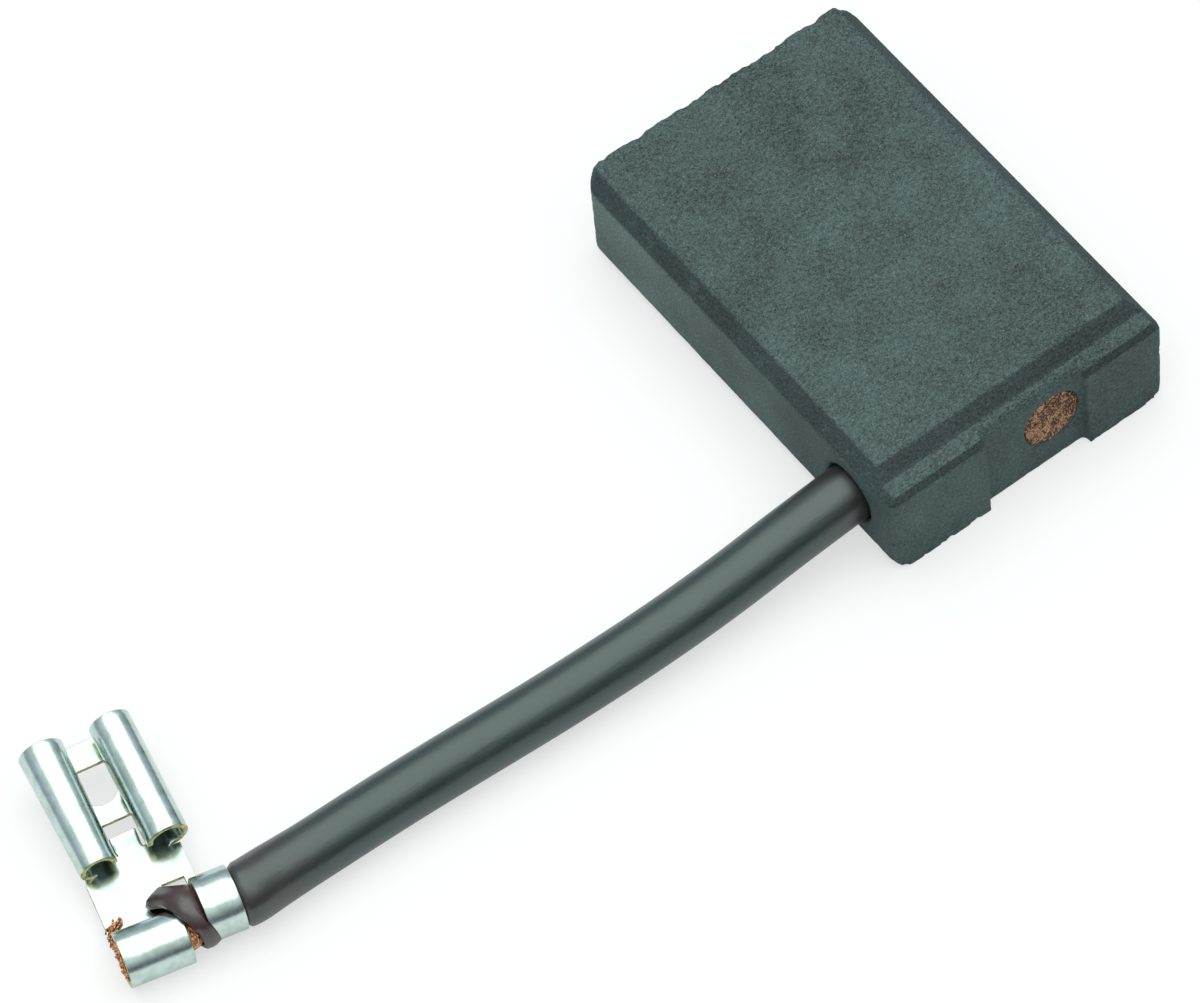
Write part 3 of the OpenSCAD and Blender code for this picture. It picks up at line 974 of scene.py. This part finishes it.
@dataclass
class Lead:
    """The sleeved strand, from the block's side to the crimps.

    Attributes:
        exit: Where the sleeve leaves the block, in millimetres.
        free: Points of the free lead from there: sideways, outwards and height.
        terminal: The terminal that it is crimped in.
        seat: Depth of the sleeve in the block.
        wall: Thickness of the sleeve's wall.
        flare_r: Radius of its torn end.
        wires: How many wire ends show at the strand's crimp.
        stray_wires: How many wires missed that crimp.
    """

    terminal: FlagTerminal
    exit: Point = (11.6, -11.0, 3.7)
    seat: float = 2.0
    sleeve_d: float = 4.0
    strand_d: float = 2.7
    wall: float = 0.35
    flare_r: float = 2.3
    wires: int = 90
    wire_r: float = 0.085
    stray_wires: int = 12
    stray_r: float = 0.075
    sides: int = 48
    free: Sequence[Point] = (
        (0.05, 2.5, 3.6), (0.08, 5.5, 3.35), (0.13, 8.5, 3.05), (0.15, 11.5, 2.8), (0.1, 14.5, 2.58),
        (0, 17.5, 2.4), (-0.14, 20.5, 2.27), (-0.3, 23.5, 2.18), (-0.49, 26.5, 2.12),
        (-0.69, 29.5, 2.08), (-0.87, 32.5, 2.06), (-1.01, 35.5, 2.05), (-1.11, 38.5, 2.05),
        (-1.19, 41.5, 2.05), (-1.28, 44.5, 2.1),
    )

    def between_crimps(self, share: float, y: float) -> Vector:
        """A point between the strand crimp's axis, at 0, and the sleeve crimp's, at 1."""
        flag = self.terminal
        return flag.place((flag.grip_x * share, y, flag.core_r + share * (flag.grip_r - flag.core_r)))

    def route(self) -> list[Vector]:
        """The sleeve's centreline through its chosen points."""
        flag = self.terminal
        x, y, z = self.exit
        grip_end = flag.grip_y + flag.grip_l
        return [
            Vector((x, y + self.seat, z)),
            Vector((x, y, z)),
            *(Vector((x + aside, y - out, up)) for aside, out, up in self.free),
            self.between_crimps(1, grip_end + 0.8),
            self.between_crimps(1, grip_end),
            self.between_crimps(1, flag.grip_y - 0.1),
            self.between_crimps(0.85, flag.grip_y - 0.6),
            self.between_crimps(0.5, flag.core_end_y + 0.05),
        ]

    @staticmethod
    def smooth_path(points: Sequence[Vector], step: float) -> list[Vector]:
        """Points along a smooth curve through the given ones.

        Args:
            points: Points that the curve passes through.
            step: About how far apart the new points are.

        Returns:
            The new points, from the first given one to the last.
        """
        ends = [points[0] * 2 - points[1], *points, points[-1] * 2 - points[-2]]
        path: list[Vector] = []
        for a, b, c, d in zip(ends, ends[1:], ends[2:], ends[3:]):
            count = max(1, round((c - b).length / step))
            for k in range(count):
                t = k / count
                path.append(0.5 * (
                    2 * b + (c - a) * t + (2 * a - 5 * b + 4 * c - d) * t * t
                    + (3 * b - a - 3 * c + d) * t ** 3
                ))
        return [*path, points[-1]]

    def ring(self, path: Sequence[Vector], i: int, radius: float) -> list[Vector]:
        """A ring of points round the path's i-th point."""
        along = (path[min(i + 1, len(path) - 1)] - path[max(i - 1, 0)]).normalized()
        side = along.cross(Vector((0, 0, 1))).normalized()
        up = side.cross(along)
        turns = [2 * math.pi * k / self.sides for k in range(self.sides)]
        return [path[i] + radius * (math.cos(a) * side + math.sin(a) * up) for a in turns]

    def radius_at(self, from_end: float) -> float:
        """The sleeve's outer radius at a distance from its torn end, squeezed by the crimp."""
        flag = self.terminal
        held = flag.grip_r - flag.sheet - 0.02
        start = flag.grip_y - flag.core_end_y + 0.05
        end = start + flag.grip_l
        swell = 0.12 * (1 - ease(from_end, end, end + 6.0))
        free = self.sleeve_d / 2 + swell
        if from_end < start:
            flared = held + (self.flare_r - held) * ease(start - from_end, -0.1, 0.4)
            return flared - 0.25 * ease(from_end, 0.45, 0)
        return held + (free - held) * ease(from_end, end - 0.15, end + 0.4)

    def tear(self, p: Vector) -> Vector:
        """Tears the sleeve's crimped end: a flap over the plate at the back, a ragged rim elsewhere."""
        flag = self.terminal
        local = flag.matrix().inverted() @ (p * MM) / MM
        if local.y > flag.grip_y - 0.05:
            return p
        out = 1 - ease(local.y, flag.grip_y - 1.15, flag.grip_y - 0.2)
        turn = math.atan2(local.z - flag.grip_r, local.x - flag.grip_x)
        back = max(0.0, math.cos(turn - math.radians(185))) ** 3
        local.y -= out * (back * 0.75 + 0.12 * wobble(p, 0.4))
        local.x -= out * back * 0.55
        local.z -= out * back * (0.5 + 0.3 * wobble(p, 0.5))
        if local.x < flag.grip_x - 1.2:
            local.z = max(local.z, flag.mid_z + 0.3)
        rough = 0.06 * out * wobble(p, 0.3)
        placed = flag.place(local + Vector((rough, 0, rough)))
        placed.z = max(placed.z, 0.02)
        return placed

    def build_sleeve(self) -> bpy.types.Object:
        path = self.smooth_path(self.route(), 0.3)
        left = [0.0]
        for a, b in zip(reversed(path[:-1]), reversed(path)):
            left.append(left[-1] + (b - a).length)
        left.reverse()
        outer = [self.ring(path, i, self.radius_at(left[i])) for i in range(len(path))]
        inner = [self.ring(path, i, self.radius_at(left[i]) - self.wall) for i in range(len(path))]
        sleeve = tube_mesh("sleeve_skin", [*outer, *reversed(inner), outer[0]], closed_ends=False)
        with editing(sleeve):
            bpy.ops.mesh.remove_doubles(threshold=0.001 * MM)
            bpy.ops.mesh.normals_make_consistent(inside=False)
        reshape(sleeve, self.tear)
        smooth(sleeve, 50)
        length = sum((b - a).length for a, b in zip(path, path[1:]))
        [tuple(point * MM) for point in path]
        log.info("lead: %.1f mm of sleeve", length)
        return sleeve

    def build_strand(self) -> bpy.types.Object:
        """The strand's visible end in its crimp, and its hidden run."""
        flag = self.terminal
        x, y, z = self.exit
        route = [
            Vector((x, 3.4, z)),
            *self.route()[1:-3],
            self.between_crimps(0.9, flag.grip_y - 0.1),
            self.between_crimps(0.5, flag.grip_y - 0.7),
            self.between_crimps(0.12, flag.core_end_y),
            self.between_crimps(0, flag.core_end_y - 0.6),
            self.between_crimps(0, flag.far_y - 0.05),
        ]
        path = self.smooth_path(route, 0.8)
        rings = [self.ring(path, i, self.strand_d / 2 - 0.1) for i in range(len(path))]
        strand = tube_mesh("strand_core", rings)
        wires = [*self._wire_ends(), *self._stray_wires()]
        only(strand)
        for wire in wires:
            wire.select_set(True)
        bpy.ops.object.join()
        smooth(strand, 50)
        return strand

    def _wire(self, points: Sequence[Point], radius: float) -> bpy.types.Object:
        """One fine wire through points of the terminal's own frame."""
        path = [self.terminal.place(point) for point in points]
        rings = []
        for i, centre in enumerate(path):
            along = (path[min(i + 1, len(path) - 1)] - path[max(i - 1, 0)]).normalized()
            side = along.orthogonal().normalized()
            up = along.cross(side)
            turns = [math.pi / 3 * k for k in range(6)]
            rings.append([centre + radius * (math.cos(a) * side + math.sin(a) * up) for a in turns])
        return tube_mesh("wire", rings)

    def _wire_ends(self) -> list[bpy.types.Object]:
        """The cut ends of the strand's wires, which stand out of its crimp by different lengths."""
        flag = self.terminal
        dice = random.Random(11)
        wires = []
        for k in range(self.wires):
            reach = (flag.core_r - flag.sheet - 0.12) * math.sqrt((k + 0.5) / self.wires)
            turn = k * GOLDEN_TURN
            x, z = reach * math.cos(turn), flag.core_r + reach * math.sin(turn)
            tip = flag.far_y - dice.uniform(-0.25, 0.22)
            bend = dice.uniform(-0.06, 0.06)
            wires.append(self._wire(
                [(x, flag.far_y + 0.8, z), (x, flag.far_y + 0.3, z), (x + bend, tip, z - bend)], self.wire_r
            ))
        return wires

    def _stray_wires(self) -> list[bpy.types.Object]:
        """Wires that missed the crimp and lie over the plate's corner."""
        flag = self.terminal
        dice = random.Random(5)
        wires = []
        for k in range(self.stray_wires):
            lift = flag.mid_z + 0.32 + 0.13 * (k % 3)
            start = Vector((-0.7 - 0.13 * k, flag.far_y - 0.12 + dice.uniform(-0.1, 0.15), lift + 0.5))
            middle = Vector((-1.6 - 0.08 * k, flag.far_y + 0.1 + dice.uniform(-0.15, 0.15), lift + 0.25))
            end = Vector((-2.75 - dice.uniform(0, 0.35), flag.far_y + 0.9 + dice.uniform(-0.35, 0.3), lift))
            wires.append(self._wire([start, middle, end], self.stray_r))
        return wires


# ---------------------------------------------------------------- the block


@dataclass
class CarbonBlock:
    """The pressed block, with worn edges, and the copper tamped into it."""

    half_l: float = 16.5
    half_w: float = 11.0
    height: float = 8.0
    worn_band: float = 1.0
    worn_end: float = 1.2
    voxel: float = 0.17
    copper_voxel: float = 0.1
    copper_face_x: float = 15.2
    seed: Point = (3.1, 7.7, 1.9)

    def edge_nearness(self, p: Vector) -> float:
        """How far a point on the skin is from the nearest long edge, in millimetres."""
        gaps = sorted((self.half_l - abs(p.x), self.half_w - abs(p.y), min(p.z, self.height - p.z)))
        return gaps[1]

    def build_block(self) -> bpy.types.Object:
        """Softens, chips and roughens a copy of the pressed blank."""
        block = merged_copy("carbon_block", "carbon_body")
        apply(block, "REMESH", mode="VOXEL", voxel_size=self.voxel * MM, adaptivity=0.0)
        apply(block, "SMOOTH", factor=0.5, iterations=2)
        seed = Vector(self.seed)
        normals = [vert.normal.copy() for vert in block.data.vertices]
        for vert, normal in zip(block.data.vertices, normals):
            p = vert.co / MM
            edge = self.edge_nearness(p)
            wear = 0.0
            close = max(0.0, 1 - edge / self.worn_band)
            if close > 0:
                chips = noise.noise(p * 0.9 + seed) * 0.6 + noise.noise(p * 2.3 + seed) * 0.4
                wear = close * max(0.0, chips - 0.05) * 0.45
                if p.x < -self.half_l + self.worn_end:
                    wear += close * max(0.0, noise.noise(p * 1.3 - seed) + 0.1) * 0.3
            rough = noise.noise(p * 3.0) * 0.012
            vert.co -= normal * (wear + rough) * MM
        smooth(block, 60)
        return block

    def build_copper(self) -> bpy.types.Object:
        """Crumbles the face of the copper filling."""
        copper = merged_copy("copper_tamping", "copper_plug")
        apply(copper, "REMESH", mode="VOXEL", voxel_size=self.copper_voxel * MM, adaptivity=0.0)
        for vert in copper.data.vertices:
            p = vert.co / MM
            if p.x > self.copper_face_x:
                vert.co.x += (noise.noise(p * 5.0) * 0.08 - 0.06) * MM
        smooth(copper, 60)
        return copper


# ---------------------------------------------------------------- assembly


def main() -> None:
    """Builds the studio and the brush, piece by piece."""
    logging.basicConfig(level=logging.INFO, format="%(message)s")
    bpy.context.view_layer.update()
    bpy.context.scene.view_settings.view_transform = "Standard"

    studio = Studio()
    studio.add_camera()
    flag = FlagTerminal()
    lead = Lead(flag)

    terminal = flag.build(TinFinish().material(), SheetEdgeFinish().material())
    mount(terminal, "flag_terminal", slot="tinned_brass")

    strand = lead.build_strand()
    dress(strand, CopperFinish("bare_strand", srgb(246, 190, 146), srgb(176, 112, 76), 0.18).material())
    mount(strand, "strand", slot="copper_strand")

    sleeve = lead.build_sleeve()
    dress(sleeve, SleeveFinish().material())
    mount(sleeve, "sleeve", slot="black_sleeve")

    brush = CarbonBlock()
    block = brush.build_block()
    dress(block, CarbonFinish().material())
    mount(block, "carbon_block", slot="carbon")
    copper = brush.build_copper()
    dress(copper, CopperFinish("tamped_copper", srgb(196, 150, 116), srgb(74, 50, 38), 0.16).material())
    mount(copper, "copper_tamping", slot="copper_powder")

    studio.add_floor()
    studio.add_light()


if __name__ == "__main__":
    main()
